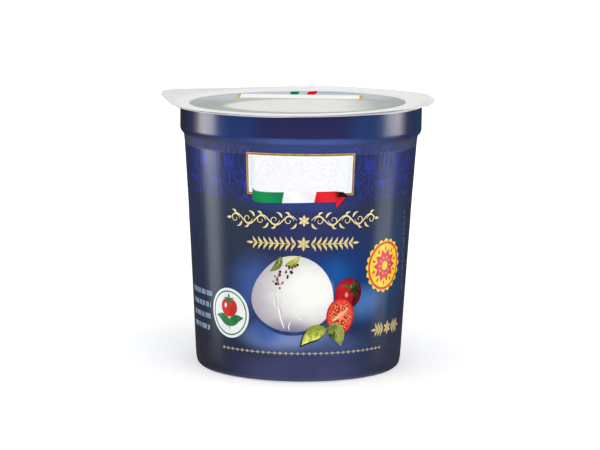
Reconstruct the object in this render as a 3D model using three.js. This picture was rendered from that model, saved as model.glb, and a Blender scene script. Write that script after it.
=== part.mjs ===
// A shut plastic tub for a soft cheese in brine: a tapered tub with a stacking collar and a sealing
// flange, closed by a peel-off film that has a corner tab to pull it by.
// Millimetres, +Z up, origin at the centre of the base, the printed front facing -Y.
import * as THREE from 'three';

const DEGREE = Math.PI / 180;

// The tub, from the base up.
const BASE_RADIUS = 39.1;
const FOOT_ROUND = 2.8;
const WALL_TOP_RADIUS = 44.1;
const WALL_TOP = 86.4; // the taper would reach the radius above at this height
const WALL_DISH = 0.2; // how far the middle of the wall lies inside a straight taper
const COLLAR_RADIUS = 45.85;
const COLLAR_LOW = 91.5;
const LIP_ROUND = 2.9; // the collar's rounded lower lip
const LIP_TURN = 58 * DEGREE; // how far that round turns before the crease above the wall
const FLARE_LOW = 85.0; // the wall starts to bend out to the crease at this height
const FLARE_CORNER = 86.7; // the bend's middle
const FLANGE_RADIUS = 47.5;
const FLANGE_LOW = 100.0;
const FLANGE_TOP = 100.45;
const FLANGE_EDGE = 0.15;
const TUB_SEGMENTS = 90;

// The top: the film is sealed to a ring of the flange and lies lower inside that ring.
const SEAL_RADIUS = 41.4;
const SINK_DEPTH = 0.55;
const SINK_SLOPE = 0.9;

// The thin rim is not quite true to the tub: it leans a little up to the right and the back, and
// sits a little to the left. The collar takes up the difference.
const RIM_SLOPE_X = 0.0135;
const RIM_SLOPE_Y = 0.021;
const RIM_SHIFT_X = -0.85;
const RIM_BEND = 1.2; // the top of the collar takes up the shift over this height

// The film. Its outline is a band pulled tight round a few discs: the lid itself, two for the
// rounded pull tab at the back left and two for the low corners at the right.
const FILM_GAP = 0.3;
const FILM_THICKNESS = 0.2;
const FILM_SEGMENTS = 120;
const FILM_DISCS = [
  { x: 0.4, y: 1.55, radius: 50.3 },
  { x: -46.3, y: 34.8, radius: 8.5 },
  { x: -44.3, y: 24, radius: 10.5 },
  { x: 35.2, y: 17, radius: 14 },
  { x: 33, y: -15.5, radius: 15 },
];
const OVERHANG_START = 46.4; // the film is free from here outwards
const OVERHANG_DRAWN = 1; // its free width in the profile, before it is stretched to the outline
const OVERHANG_RISE = 3.9; // it has risen to its full curl this much further out
const FILM_CURLS = [
  { direction: 98 * DEGREE, spread: 42 * DEGREE, height: 0.45 },
  { direction: 140 * DEGREE, spread: 25 * DEGREE, height: 0.2 },
  { direction: 20 * DEGREE, spread: 40 * DEGREE, height: 0.5 },
  { direction: 222 * DEGREE, spread: 18 * DEGREE, height: 0.6 },
  { direction: 312 * DEGREE, spread: 20 * DEGREE, height: 0.6 },
  { direction: 270 * DEGREE, spread: 20 * DEGREE, height: 0.15 },
];

const ease = (low, high, value) => THREE.MathUtils.smoothstep(value, low, high);

function arc(centreR, centreZ, radius, from, to, steps) {
  return Array.from({ length: steps + 1 }, (_, i) => {
    const turn = THREE.MathUtils.lerp(from, to, i / steps);
    return new THREE.Vector2(centreR + radius * Math.cos(turn), centreZ + radius * Math.sin(turn));
  });
}

function wallRadius(z) {
  const part = z / WALL_TOP;
  return THREE.MathUtils.lerp(BASE_RADIUS, WALL_TOP_RADIUS, part) - 4 * WALL_DISH * part * (1 - part);
}

// A solid of revolution about Z from a profile of (radius, height) points.
function turned(profile, segments) {
  return new THREE.LatheGeometry(profile, segments).rotateX(Math.PI / 2);
}

function eachVertex(geometry, move) {
  const position = geometry.attributes.position;
  const point = new THREE.Vector3();
  for (let i = 0; i < position.count; i++) {
    move(point.fromBufferAttribute(position, i));
    position.setXYZ(i, point.x, point.y, point.z);
  }
  geometry.computeVertexNormals();
  return geometry;
}

// Moves a point of the true, level rim to where the real rim has it. Below the collar nothing moves.
function setRim(point) {
  const level = point.z;
  point.z += ease(COLLAR_LOW, FLANGE_LOW, level) * (RIM_SLOPE_X * point.x + RIM_SLOPE_Y * point.y);
  point.x += RIM_SHIFT_X * ease(FLANGE_LOW - RIM_BEND, FLANGE_LOW, level);
}

function tubProfile() {
  const foot = arc(BASE_RADIUS - FOOT_ROUND, FOOT_ROUND, FOOT_ROUND, -90 * DEGREE, 0, 5);
  const wallHeights = [15, 30, 45, 60, 74];
  const wall = wallHeights.map((z) => new THREE.Vector2(wallRadius(z), z));
  const lip = arc(COLLAR_RADIUS - LIP_ROUND, COLLAR_LOW, LIP_ROUND, -LIP_TURN, 0, 5);
  const flare = new THREE.QuadraticBezierCurve(
    new THREE.Vector2(wallRadius(FLARE_LOW), FLARE_LOW),
    new THREE.Vector2(wallRadius(FLARE_CORNER), FLARE_CORNER),
    lip[0],
  ).getPoints(4);
  const rim = [
    new THREE.Vector2(COLLAR_RADIUS, FLANGE_LOW - RIM_BEND),
    new THREE.Vector2(COLLAR_RADIUS, FLANGE_LOW),
    new THREE.Vector2(FLANGE_RADIUS - FLANGE_EDGE, FLANGE_LOW),
    new THREE.Vector2(FLANGE_RADIUS, FLANGE_LOW + FLANGE_EDGE),
    new THREE.Vector2(FLANGE_RADIUS, FLANGE_TOP - FLANGE_EDGE),
    new THREE.Vector2(FLANGE_RADIUS - FLANGE_EDGE, FLANGE_TOP),
    new THREE.Vector2(SEAL_RADIUS, FLANGE_TOP),
    new THREE.Vector2(SEAL_RADIUS - SINK_SLOPE, FLANGE_TOP - SINK_DEPTH),
    new THREE.Vector2(0, FLANGE_TOP - SINK_DEPTH),
  ];
  return [new THREE.Vector2(0, 0), ...foot, ...wall, ...flare, ...lip.slice(1), ...rim];
}

// How far the film reaches from the rim's centre in one direction: the least of the distances at
// which the lines that touch the discs are met.
function filmReach(direction) {
  let reach = Infinity;
  for (let turn = -80; turn <= 80; turn++) {
    const x = Math.cos(direction + turn * DEGREE);
    const y = Math.sin(direction + turn * DEGREE);
    const edges = FILM_DISCS.map((disc) => (disc.x - RIM_SHIFT_X) * x + disc.y * y + disc.radius);
    reach = Math.min(reach, Math.max(...edges) / Math.cos(turn * DEGREE));
  }
  return reach;
}

function filmCurl(direction) {
  return FILM_CURLS.reduce((sum, curl) => {
    const turn = THREE.MathUtils.euclideanModulo(direction - curl.direction + Math.PI, 2 * Math.PI);
    return sum + curl.height * Math.exp(-0.5 * ((turn - Math.PI) / curl.spread) ** 2);
  }, 0);
}

function filmGeometry() {
  const low = FLANGE_TOP + FILM_GAP;
  const under = [
    new THREE.Vector2(0, low - SINK_DEPTH),
    new THREE.Vector2(SEAL_RADIUS - SINK_SLOPE, low - SINK_DEPTH),
    new THREE.Vector2(SEAL_RADIUS, low),
    new THREE.Vector2(OVERHANG_START, low),
    new THREE.Vector2(OVERHANG_START + OVERHANG_DRAWN / 2, low),
    new THREE.Vector2(OVERHANG_START + OVERHANG_DRAWN, low),
  ];
  const over = under.map((point) => new THREE.Vector2(point.x, point.y + FILM_THICKNESS)).reverse();
  return eachVertex(turned([...under, ...over], FILM_SEGMENTS), (point) => {
    const radius = Math.hypot(point.x, point.y);
    if (radius > OVERHANG_START) {
      const direction = Math.atan2(point.y, point.x);
      const part = (radius - OVERHANG_START) / OVERHANG_DRAWN;
      const placed = THREE.MathUtils.lerp(OVERHANG_START, filmReach(direction), part);
      point.x *= placed / radius;
      point.y *= placed / radius;
      point.z += filmCurl(direction) * ease(0, OVERHANG_RISE, placed - OVERHANG_START);
    }
    setRim(point);
  });
}

function piece(name, geometry, look) {
  const mesh = new THREE.Mesh(geometry, new THREE.MeshStandardMaterial(look));
  mesh.name = name;
  return mesh;
}

const group = new THREE.Group();
group.add(piece(
  'tub',
  eachVertex(turned(tubProfile(), TUB_SEGMENTS), setRim),
  { color: 0x20245a, roughness: 0.35, metalness: 0 },
));
group.add(piece('lid_film', filmGeometry(), { color: 0xd9dcda, roughness: 0.3, metalness: 0 }));

export default group;
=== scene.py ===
import math
import random

import bpy
import numpy as np
from mathutils import Matrix, Vector
from mathutils.geometry import delaunay_2d_cdt


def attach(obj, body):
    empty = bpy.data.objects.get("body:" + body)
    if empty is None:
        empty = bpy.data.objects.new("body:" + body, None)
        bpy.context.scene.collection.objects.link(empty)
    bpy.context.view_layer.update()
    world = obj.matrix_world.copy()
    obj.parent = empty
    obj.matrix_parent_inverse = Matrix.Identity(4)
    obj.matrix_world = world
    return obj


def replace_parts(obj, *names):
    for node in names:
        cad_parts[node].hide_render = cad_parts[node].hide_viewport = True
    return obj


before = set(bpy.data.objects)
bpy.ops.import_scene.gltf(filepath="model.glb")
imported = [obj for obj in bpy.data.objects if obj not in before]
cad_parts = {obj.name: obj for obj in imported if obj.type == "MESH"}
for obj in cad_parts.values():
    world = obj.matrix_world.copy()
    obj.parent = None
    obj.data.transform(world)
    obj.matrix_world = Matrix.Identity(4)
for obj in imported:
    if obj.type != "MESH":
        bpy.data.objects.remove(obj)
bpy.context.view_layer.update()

MM = 0.001
DEGREE = math.pi / 180

# The tub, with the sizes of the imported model.
BASE_RADIUS = 39.1
FOOT_ROUND = 2.8
WALL_TOP_RADIUS = 44.1
WALL_TOP = 86.4
WALL_DISH = 0.2
COLLAR_RADIUS = 45.85
COLLAR_LOW = 91.5
LIP_ROUND = 2.9
LIP_TURN = 58 * DEGREE
FLARE_LOW = 85.0
FLARE_CORNER = 86.7
FLANGE_RADIUS = 47.5
FLANGE_LOW = 100.0
FLANGE_EDGE = 0.15
RIM_SLOPE_X = 0.0135
RIM_SLOPE_Y = 0.021
RIM_SHIFT_X = -0.85
RIM_BEND = 1.2
SEAL_RADIUS = 41.4
SINK_DEPTH = 0.55
SINK_SLOPE = 0.9

# The film and its outline, a band pulled tight round discs of (x, y, radius).
FILM_TOP = 100.95
FILM_THICKNESS = 0.15
FILM_DISCS = [
    (0.4, 1.55, 50.3), (-46.3, 34.8, 8.5), (-44.3, 24, 10.5), (35.2, 17, 14), (33, -15.5, 15),
]
OVERHANG_START = 46.4
OVERHANG_RISE = 3.9
# Where the free edge curls up: (direction, spread, height), in degrees and millimetres.
FILM_CURLS = [
    (98, 42, 0.45), (140, 25, 0.2), (20, 40, 0.5),
    (222, 18, 0.6), (312, 20, 0.6), (270, 20, 0.15),
]
SEAL_BEADS = [43.0, 45.2]  # fine raised lines that the sealing tool leaves
SEAL_BEAD_HEIGHT = 0.07
SEAL_BEAD_WIDTH = 0.28

# What only the dressed model has.
COLLAR_WALL = 1.2  # how thick the collar is where it stands in the flange
COLLAR_TOP = FLANGE_LOW + 0.62
FLANGE_SHOWN_TOP = 100.77  # the flange reaches up to the film
FLANGE_TOP_ROUND = 0.25
FLANGE_LOW_LIFT = 0.1  # the flange's lower face lies this much higher
FLANGE_LOW_LEAN = -0.0055  # and leans a little less than its top
FLANGE_THINNER = 0.3  # it is this much thinner from below, right of its middle
WINDOW_SHIFT_X = -0.55  # the film's sunk part sits this far off the rim's centre
WINDOW_EDGE = 0.8  # the white of the seal fades into the window over this width
LABEL_LOW_TURN = -50 * DEGREE  # where on the foot's round the printed label ends
BASE_RECESS = 0.8
BASE_RING_WIDTH = 2.4

# The print. Places on the wall are (along, up): the length round the front at this radius, to the
# right as seen from the front, and the height.
PRINT_RADIUS = 43.0
LAYER = 0.03  # how far each layer of ink lies above the last
SUNK = 0.02  # how far a layer's back lies in the wall
DAMASK_REPEATS = 20
DAMASK_WIDTH = 2 * math.pi * PRINT_RADIUS / DAMASK_REPEATS


# -------- shapes in the plane

def ease(low, high, value):
    part = np.clip((np.asarray(value, float) - low) / (high - low), 0, 1)
    return part * part * (3 - 2 * part)


def around(count):
    """Directions spread evenly over a full turn."""
    return np.linspace(0, 2 * math.pi, count, endpoint=False)


def at(centre, turn, across, up=None):
    """The point in this direction on a circle, or on an oval where up differs from across."""
    up = across if up is None else up
    return centre[0] + across * math.cos(turn), centre[1] + up * math.sin(turn)


def arc(centre, radius, start, end, steps):
    return [at(centre, turn, radius) for turn in np.linspace(start, end, steps + 1)]


def oval(centre, across, up, down=None, steps=48):
    """A closed outline with its own reach upward and downward."""
    down = up if down is None else down
    return [at(centre, turn, across, up if math.sin(turn) > 0 else down) for turn in around(steps)]


def disc(centre, radius, steps=14):
    return oval(centre, radius, radius, steps=steps)


def scalloped(centre, radius, depth, lobes):
    turns = around(8 * lobes)
    return [at(centre, t, radius - depth * (1 - abs(math.cos(lobes * t / 2)))) for t in turns]


def box(left, low, right, high):
    return [(left, low), (right, low), (right, high), (left, high)]


def ring_of_quads(centre, inner, outer, steps=96):
    a = arc(centre, inner, 0, 2 * math.pi, steps)
    b = arc(centre, outer, 0, 2 * math.pi, steps)
    return [[a[i], b[i], b[i + 1], a[i + 1]] for i in range(steps)]


def smooth_line(controls, steps=7):
    """A smooth line through a few points."""
    p = np.array([controls[0], *controls, controls[-1]], float)
    line = []
    for i in range(1, len(p) - 2):
        for t in np.linspace(0, 1, steps, endpoint=False):
            line.append(0.5 * (
                2 * p[i] + (p[i + 1] - p[i - 1]) * t
                + (2 * p[i - 1] - 5 * p[i] + 4 * p[i + 1] - p[i + 2]) * t * t
                + (3 * p[i] - p[i - 1] - 3 * p[i + 1] + p[i + 2]) * t ** 3
            ))
    return [tuple(point) for point in [*line, p[-1]]]


def spiral(centre, outer, inner, start, turn, steps=26):
    """A curl that winds in round its centre."""
    shares = np.linspace(0, 1, steps)
    return [at(centre, start + turn * t, outer + (inner - outer) * t) for t in shares]


def even_pen(t):
    return (1 - abs(2 * t - 1) ** 8) ** 0.5


def tapered_pen(t):
    return math.sin(math.pi * t) ** 0.45


def curl_pen(t):
    return min(1, 6 * t + 0.3) * (1 - 0.55 * t)


def leaf_pen(t):
    return math.sin(math.pi * t ** 0.75) ** 0.9


def drop_pen(t):
    """Round at its start and pointed at its end."""
    return 1.6 * (t ** 0.5) * (1 - t) ** 0.8


def stroke(line, width, pen=even_pen):
    """The quads of a line drawn with a pen that is as wide as width times pen(0 to 1)."""
    line = np.array(line, float)
    along = np.gradient(line, axis=0)
    along /= np.maximum(np.linalg.norm(along, axis=1, keepdims=True), 1e-9)
    side = np.stack([-along[:, 1], along[:, 0]], 1)
    half = np.array([max(pen(t), 0.06) for t in np.linspace(0, 1, len(line))])[:, None] * width / 2
    left, right = line + side * half, line - side * half
    return [[right[i], right[i + 1], left[i + 1], left[i]] for i in range(len(line) - 1)]


def pen_lines(*rows):
    """Smooth tapered lines, each given as its width and the points that it runs through."""
    return sum((stroke(smooth_line(line), width, tapered_pen) for width, *line in rows), [])


def bowed(base, tip, bend, shares):
    """Points at these shares of a line that is bent to one side."""
    base, tip = np.array(base, float), np.array(tip, float)
    side = np.array([base[1] - tip[1], tip[0] - base[0]]) * bend
    return [base + (tip - base) * t + side * math.sin(math.pi * t) for t in shares]


def leaf(base, tip, width, bend=0, pen=leaf_pen, steps=12):
    """A leaf or petal from its base to its tip."""
    return stroke(bowed(base, tip, bend, np.linspace(0, 1, steps)), width, pen)


def leaves(*rows):
    return sum((leaf(*row) for row in rows), [])


def rosette(centre, inner, outer, width, petals, start=0.0):
    turns = start + around(petals)
    return leaves(*[(at(centre, turn, inner), at(centre, turn, outer), width) for turn in turns])


def mirrored(quads, axis=0):
    return quads + [[(2 * axis - p[0], p[1]) for p in quad] for quad in quads]


def moved(quads, along=0, up=0):
    return [[(p[0] + along, p[1] + up) for p in quad] for quad in quads]


# -------- surfaces

def wall_radius(z):
    part = z / WALL_TOP
    return BASE_RADIUS + (WALL_TOP_RADIUS - BASE_RADIUS) * part - 4 * WALL_DISH * part * (1 - part)


def tub_side():
    """The tub's outer side as (radius, height), from the foot up to the flange."""
    foot = arc((BASE_RADIUS - FOOT_ROUND, FOOT_ROUND), FOOT_ROUND, LABEL_LOW_TURN, 0, 10)
    wall = [(wall_radius(z), z) for z in np.linspace(4, FLARE_LOW, 48)]
    lip = arc((COLLAR_RADIUS - LIP_ROUND, COLLAR_LOW), LIP_ROUND, -LIP_TURN, 0, 14)
    start, corner, end = np.array([wall[-1], (wall_radius(FLARE_CORNER), FLARE_CORNER), lip[0]])
    bend = np.linspace(0, 1, 8)[1:]
    flare = [tuple((1 - t) ** 2 * start + 2 * t * (1 - t) * corner + t * t * end) for t in bend]
    collar = [(COLLAR_RADIUS, z) for z in np.linspace(92, FLANGE_LOW, 12)]
    return foot + wall + flare + lip[1:] + collar


SIDE = np.array(tub_side())


def set_rim(points, shift_x=RIM_SHIFT_X):
    """Moves points of a true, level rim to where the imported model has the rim."""
    x, y, z = points.T
    lean = ease(COLLAR_LOW, FLANGE_LOW, z) * (RIM_SLOPE_X * x + RIM_SLOPE_Y * y)
    shift = shift_x * ease(FLANGE_LOW - RIM_BEND, FLANGE_LOW, z)
    return np.stack([x + shift, y, z + lean], 1)


def on_wall(flat):
    """Places on the wall, from (along, up)."""
    turn = flat[:, 0] / PRINT_RADIUS
    radius = np.interp(flat[:, 1], SIDE[:, 1], SIDE[:, 0])
    return set_rim(np.stack([radius * np.sin(turn), -radius * np.cos(turn), flat[:, 1]], 1), 0)


def film_level(radius):
    """The height of the film's upper face inside the overhang, before the rim's lean."""
    level = FILM_TOP - SINK_DEPTH * (1 - ease(SEAL_RADIUS - SINK_SLOPE, SEAL_RADIUS, radius))
    for bead in SEAL_BEADS:
        level = level + SEAL_BEAD_HEIGHT * np.exp(-(((radius - bead) / SEAL_BEAD_WIDTH) ** 2))
    return level


def on_lid(flat):
    """Places on the film, from (x, y)."""
    x = flat[:, 0] - RIM_SHIFT_X
    level = film_level(np.hypot(x - WINDOW_SHIFT_X, flat[:, 1]))
    return set_rim(np.stack([x, flat[:, 1], level], 1))


def facing(place, flat, step=0.05):
    """The normals of a surface at these flat places."""
    here = place(flat)
    across = np.cross(place(flat + [step, 0]) - here, place(flat + [0, step]) - here)
    return across / np.linalg.norm(across, axis=1, keepdims=True)


# -------- pieces

def new_object(name, data):
    made = bpy.data.objects.new(name, data)
    bpy.context.scene.collection.objects.link(made)
    return made


def new_piece(name, points, faces, material, normals=None):
    """A piece of the object from points in millimetres."""
    mesh = bpy.data.meshes.new(name)
    mesh.from_pydata((np.asarray(points) * MM).tolist(), [], faces)
    mesh.materials.append(material)
    mesh.shade_smooth()
    if normals is None:
        mesh.set_sharp_from_angle(angle=30 * DEGREE)
    else:
        mesh.normals_split_custom_set_from_vertices(normals.tolist())
    piece = new_object(name, mesh)
    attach(piece, "root")
    return piece


def turned(profile, segments=360, loop=False):
    """A solid of revolution about Z. A profile that isn't a loop starts and ends on the axis."""
    rings = profile if loop else profile[1:-1]
    points = [(r * math.cos(t), r * math.sin(t), z) for r, z in rings for t in around(segments)]
    steps = [(i, (i + 1) % segments) for i in range(segments)]
    faces = []
    for ring in range(len(rings) if loop else len(rings) - 1):
        low, high = ring * segments, (ring + 1) % len(rings) * segments
        faces += [(low + i, low + j, high + j, high + i) for i, j in steps]
    if not loop:
        first, top = len(points), (len(rings) - 1) * segments
        points += [(0, 0, profile[0][1]), (0, 0, profile[-1][1])]
        for i, j in steps:
            faces += [(first, j, i), (first + 1, top + i, top + j)]
    return np.array(points), faces


def counter_clockwise(outline):
    x, y = np.array(outline, float).T
    area = np.dot(x, np.roll(y, -1)) - np.dot(y, np.roll(x, -1))
    return outline if area > 0 else outline[::-1]


def close_set(outline, step):
    """The outline with no edge longer than the step."""
    points = []
    for a, b in zip(outline, [*outline[1:], outline[0]]):
        a, b = np.array(a, float), np.array(b, float)
        parts = max(1, math.ceil(np.linalg.norm(b - a) / step))
        points += [tuple(a + (b - a) * i / parts) for i in range(parts)]
    return points


def flat_union(solids, holes, step):
    """The triangles of flat outlines joined together, less the holes."""
    points, faces = [], []
    for outline in [*solids, *holes]:
        outline = close_set(counter_clockwise(outline), step)
        faces.append(list(range(len(points), len(points) + len(outline))))
        points += [Vector(p) for p in outline]
    spread = np.array([p for outline in solids for p in outline])
    low, high = spread.min(0) + step / 2, spread.max(0)
    rows = np.arange(low[1], high[1], step)
    points += [Vector((x, y)) for x in np.arange(low[0], high[0], step) for y in rows]
    made, _, triangles, _, _, sources = delaunay_2d_cdt(points, [], faces, 0, 1e-4, True)
    kept = [t for t, source in zip(triangles, sources) if source and max(source) < len(solids)]
    used = sorted({i for t in kept for i in t})
    renumbered = {old: new for new, old in enumerate(used)}
    return np.array([made[i] for i in used]), [[renumbered[i] for i in t] for t in kept]


def shell(faces, count):
    """The faces of a thin closed sheet whose back has the same points, count further on."""
    edges = dict.fromkeys((face[i - 1], face[i]) for face in faces for i in range(len(face)))
    sides = [(b, a, a + count, b + count) for a, b in edges if (b, a) not in edges]
    back = [tuple(i + count for i in reversed(face)) for face in faces]
    return [*map(tuple, faces), *back, *sides]


def printed(
    name, solids, look, level, holes=(), repeats=1, place=on_wall, step=1.6
):
    """A field of ink that follows the surface, a closed sheet a few hundredths of a millimetre
    thick. Its look is a material or the two tones of a plain ink."""
    material = plain_ink(f"{name}_ink", *look) if isinstance(look, tuple) else look
    flat, triangles = flat_union(solids, list(holes), step)
    points, normals, faces = [], [], []
    for repeat in range(repeats):
        here = flat + [repeat * DAMASK_WIDTH, 0]
        start = 2 * repeat * len(flat)
        surface, outward = place(here), facing(place, here)
        points += [surface + outward * (level * LAYER), surface - outward * SUNK]
        normals += [outward, outward]
        faces += [tuple(start + i for i in face) for face in shell(triangles, len(flat))]
    return new_piece(name, np.concatenate(points), faces, material, np.concatenate(normals))


# -------- materials

def linear(colour):
    """A colour as it looks on a screen, 0 to 255, made linear."""
    shares = [c / 255 for c in colour]
    return tuple(c / 12.92 if c <= 0.04045 else ((c + 0.055) / 1.055) ** 2.4 for c in shares)


class Nodes:
    """Builds up a node tree. Each method adds a step and returns its output."""

    def __init__(self, tree):
        self.tree = tree

    def step(self, kind, inputs, output=0, **settings):
        node = self.tree.nodes.new(f"ShaderNode{kind}")
        for key, value in settings.items():
            setattr(node, key, value)
        for key, value in inputs.items():
            self.feed(node.inputs[key], value)
        return node.outputs[output]

    def feed(self, socket, value):
        if isinstance(value, bpy.types.NodeSocket):
            self.tree.links.new(value, socket)
        elif socket.type == "RGBA":
            socket.default_value = (*value, 1)
        else:
            socket.default_value = value

    def math(self, operation, a, b=0.0, clamp=False):
        return self.step("Math", {0: a, 1: b}, operation=operation, use_clamp=clamp)

    def times(self, a, b):
        return self.math("MULTIPLY", a, b)

    def plus(self, a, b, clamp=False):
        return self.math("ADD", a, b, clamp)

    def vector(self, operation, a, b=(0, 0, 0), output=0):
        return self.step("VectorMath", {0: a, 1: b}, output, operation=operation)

    def between(self, value, low, high, to_low=0.0, to_high=1.0, kind="SMOOTHSTEP"):
        """Takes the value from its low and high to two others, and stops there."""
        ends = {"From Min": low, "From Max": high, "To Min": to_low, "To Max": to_high}
        return self.step("MapRange", {"Value": value, **ends}, interpolation_type=kind)

    def mix(self, share, a, b):
        """Mixes two colours, each a socket or red, green and blue from 0 to 255."""
        a, b = [c if isinstance(c, bpy.types.NodeSocket) else linear(c) for c in (a, b)]
        return self.step("Mix", {0: share, 6: a, 7: b}, 2, data_type="RGBA")

    def noise(self, place, scale, detail=2.0):
        return self.step("TexNoise", {"Vector": place, "Scale": scale, "Detail": detail})

    def cloud(self, scale, low, high, to_low=0.0, to_high=1.0, detail=3.0):
        """Soft uneven patches all over the object."""
        return self.between(self.noise(self.here(), scale, detail), low, high, to_low, to_high)

    def parts(self, vector):
        node = self.tree.nodes.new("ShaderNodeSeparateXYZ")
        self.feed(node.inputs[0], vector)
        return node.outputs

    def joined(self, x, y, z=0.0):
        return self.step("CombineXYZ", {0: x, 1: y, 2: z})

    def here(self):
        """The place on the object in millimetres."""
        return self.vector("MULTIPLY", self.step("TexCoord", {}, "Object"), (1000, 1000, 1000))

    def wall_place(self):
        """(along, up, 0) on the wall in millimetres."""
        x, y, z = self.parts(self.here())
        turn = self.math("ARCTAN2", x, self.times(y, -1.0))
        return self.joined(self.times(turn, PRINT_RADIUS), z)

    def distance(self, place, centre, size):
        """1 on the edge of an oval of this half size, 0 at its centre."""
        offset = self.vector("SUBTRACT", place, (*centre, 0))
        return self.vector("LENGTH", self.vector("DIVIDE", offset, (*size, 1e6)), output=1)

    def fields(self, place, colour, rows):
        """Soft ovals of other colours, as (centre, half size, inner share, strength, colour). Each
        is at full strength out to the inner share of its size, and gone at its edge."""
        for centre, size, inner, strength, other in rows:
            blob = self.between(self.distance(place, centre, size), inner, 1.0, strength, 0.0)
            colour = self.mix(blob, colour, other)
        return colour


DULL_BAND = (84.6, 85.8, 88.6, 90.2)  # where the label turns dull, and glossy again, going up


class Look(Nodes):
    """A material in the making."""

    def __init__(self, name, roughness=0.3):
        self.material = bpy.data.materials.new(name)
        self.material.use_nodes = True
        super().__init__(self.material.node_tree)
        self.set("Roughness", roughness)

    def set(self, socket, value):
        self.feed(self.tree.nodes["Principled BSDF"].inputs[socket], value)

    def bump(self, height, strength, distance):
        inputs = {"Height": height, "Strength": strength, "Distance": distance}
        self.set("Normal", self.step("Bump", inputs))

    def label(self, colour):
        """The satin of the printed label, with its faint upright waves, alike on every ink. It is
        duller along the flare and the lip."""
        self.set("Base Color", colour)
        waves = self.noise(self.vector("MULTIPLY", self.here(), (0.5, 0.5, 0.06)), 1.0, 3.0)
        rough = self.between(waves, 0.3, 0.7, 0.19, 0.25, "LINEAR")
        up = self.parts(self.here())[2]
        begin, full, fade, end = DULL_BAND
        flare = self.between(up, begin, full, 0.0, 0.4)
        dull = self.times(flare, self.between(up, fade, end, 1.0, 0.0))
        self.set("Roughness", self.plus(rough, dull))
        grain = self.times(self.noise(self.here(), 2.2), 0.12)
        self.bump(self.plus(waves, grain), 0.04, 0.0004)
        return self.material


def plain_ink(name, colour, other):
    """One ink whose tone drifts a little, as printed fields do."""
    look = Look(name)
    return look.label(look.mix(look.cloud(0.35, 0.35, 0.65), colour, other))


def upright_ink(name, low_colour, high_colour, low, high):
    """Ink that changes from one colour at a lower height to another higher up."""
    look = Look(name)
    up = look.parts(look.wall_place())[1]
    share = look.between(up, low, high, kind="LINEAR")
    grain = look.cloud(1.2, 0.3, 0.7, -0.12, 0.12, 2.0)
    return look.label(look.mix(look.plus(share, grain, clamp=True), low_colour, high_colour))


NAVY = (37, 47, 73)
# The light in the printed ground: (centre, half size, inner share, strength, colour).
GROUND_FIELDS = [
    ((4, 62), (28, 44), 0.1, 0.8, (50, 54, 110)),  # a bluer middle
    ((-22, 60), (14, 28), 0.2, 0.7, (50, 60, 80)),
    ((45, 44), (12, 42), 0.2, 0.7, (42, 68, 102)),
    ((-57, 60), (12, 26), 0.2, 0.7, (32, 52, 90)),
    ((0, 78), (80, 13), 0.5, 0.6, (36, 50, 100)),  # behind the damask
    ((0, 67), (30, 4), 0.2, 0.8, (44, 66, 132)),
    # Painted reflection of the bright floor in the flare below the lip, strongest in the middle: this row
    # and the two others at 87.5.
    ((3, 87.5), (27, 3.6), 0.3, 0.85, (26, 64, 138)),
    # Painted shade: darker and less red where the right strip's reflection falls on the damask.
    ((38, 84), (10, 8), 0.2, 0.8, (0, 46, 92)),
    ((28, 87.5), (13, 3.2), 0.3, 0.7, (20, 50, 112)),
    ((-26, 87.5), (13, 3.2), 0.3, 0.6, (32, 46, 92)),
    ((22, 38), (34, 27), 0.1, 0.9, (0, 56, 122)),  # the glow round the picture
    ((13.5, 40), (12, 11), 0.1, 0.9, (0, 84, 164)),
    ((-17.5, 36), (16, 17), 0.0, 0.95, (62, 96, 166)),
    ((27, 29.5), (12, 9), 0.1, 0.95, (74, 126, 192)),
    ((12.6, 36), (1.8, 4), 0.1, 0.7, (120, 150, 206)),  # a thin light edge beside the ball
    ((-4, 17.5), (27, 8.0), 0.1, 0.95, (134, 156, 208)),  # light under the ball
    ((-13, 19), (12, 8), 0.1, 0.75, (40, 84, 166)),
    ((14, 14), (24, 7), 0.0, 0.7, (72, 92, 148)),
    ((2, 3), (40, 13), 0.3, 0.85, (71, 73, 116)),  # painted reflection of the bright floor, paler towards the foot
    ((-50, 8), (26, 22), 0.3, 0.8, (46, 45, 54)),
    ((52, 6), (24, 16), 0.3, 0.8, (54, 56, 76)),
]
COLLAR_INK = (38, 39, 87)
COLLAR_FIELDS = [
    ((-26, 95), (16, 30), 0.3, 0.9, (26, 56, 114)),
    ((28, 95), (16, 30), 0.3, 0.9, (28, 58, 112)),
    # Painted shade: darker and less red towards the collar's far sides, where it turns away.
    ((-62, 95), (20, 30), 0.3, 0.95, (2, 32, 52)),
    ((62, 95), (20, 30), 0.3, 0.9, (8, 54, 98)),
]
COLLAR_START = (88.0, 89.5)  # the collar's colours take over between these heights
LIP_REFLECTION = (2, 90.1)  # the middle of a painted reflection of the floor: a paler band along the rounded lip, which faces down


def ground_look():
    """The printed ground of the wall and the collar, with painted reflection of the floor along the lip,
    the flare and the foot, and painted shade at the collar's sides and on the damask at the right.
    """
    look = Look("label_ground")
    place = look.wall_place()
    along, up, _ = look.parts(place)
    wall = look.fields(place, NAVY, GROUND_FIELDS)
    collar = look.fields(place, COLLAR_INK, COLLAR_FIELDS)
    colour = look.mix(look.between(up, *COLLAR_START), wall, collar)
    across, off = [
        look.math("ABSOLUTE", look.math("SUBTRACT", here, middle))
        for here, middle in zip((along, up), LIP_REFLECTION)
    ]
    # Painted reflection: a paler band along the lip, where it faces down towards the bright floor.
    band = look.between(off, 0.7, 1.7, 0.8, 0.0)
    pale = look.times(band, look.between(across, 8, 27, 1.0, 0.0))
    colour = look.mix(pale, colour, (64, 88, 160))
    return look.label(look.mix(look.cloud(0.09, 0.35, 0.75, 0.0, 0.25, 4.0), colour, (38, 44, 78)))


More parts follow.
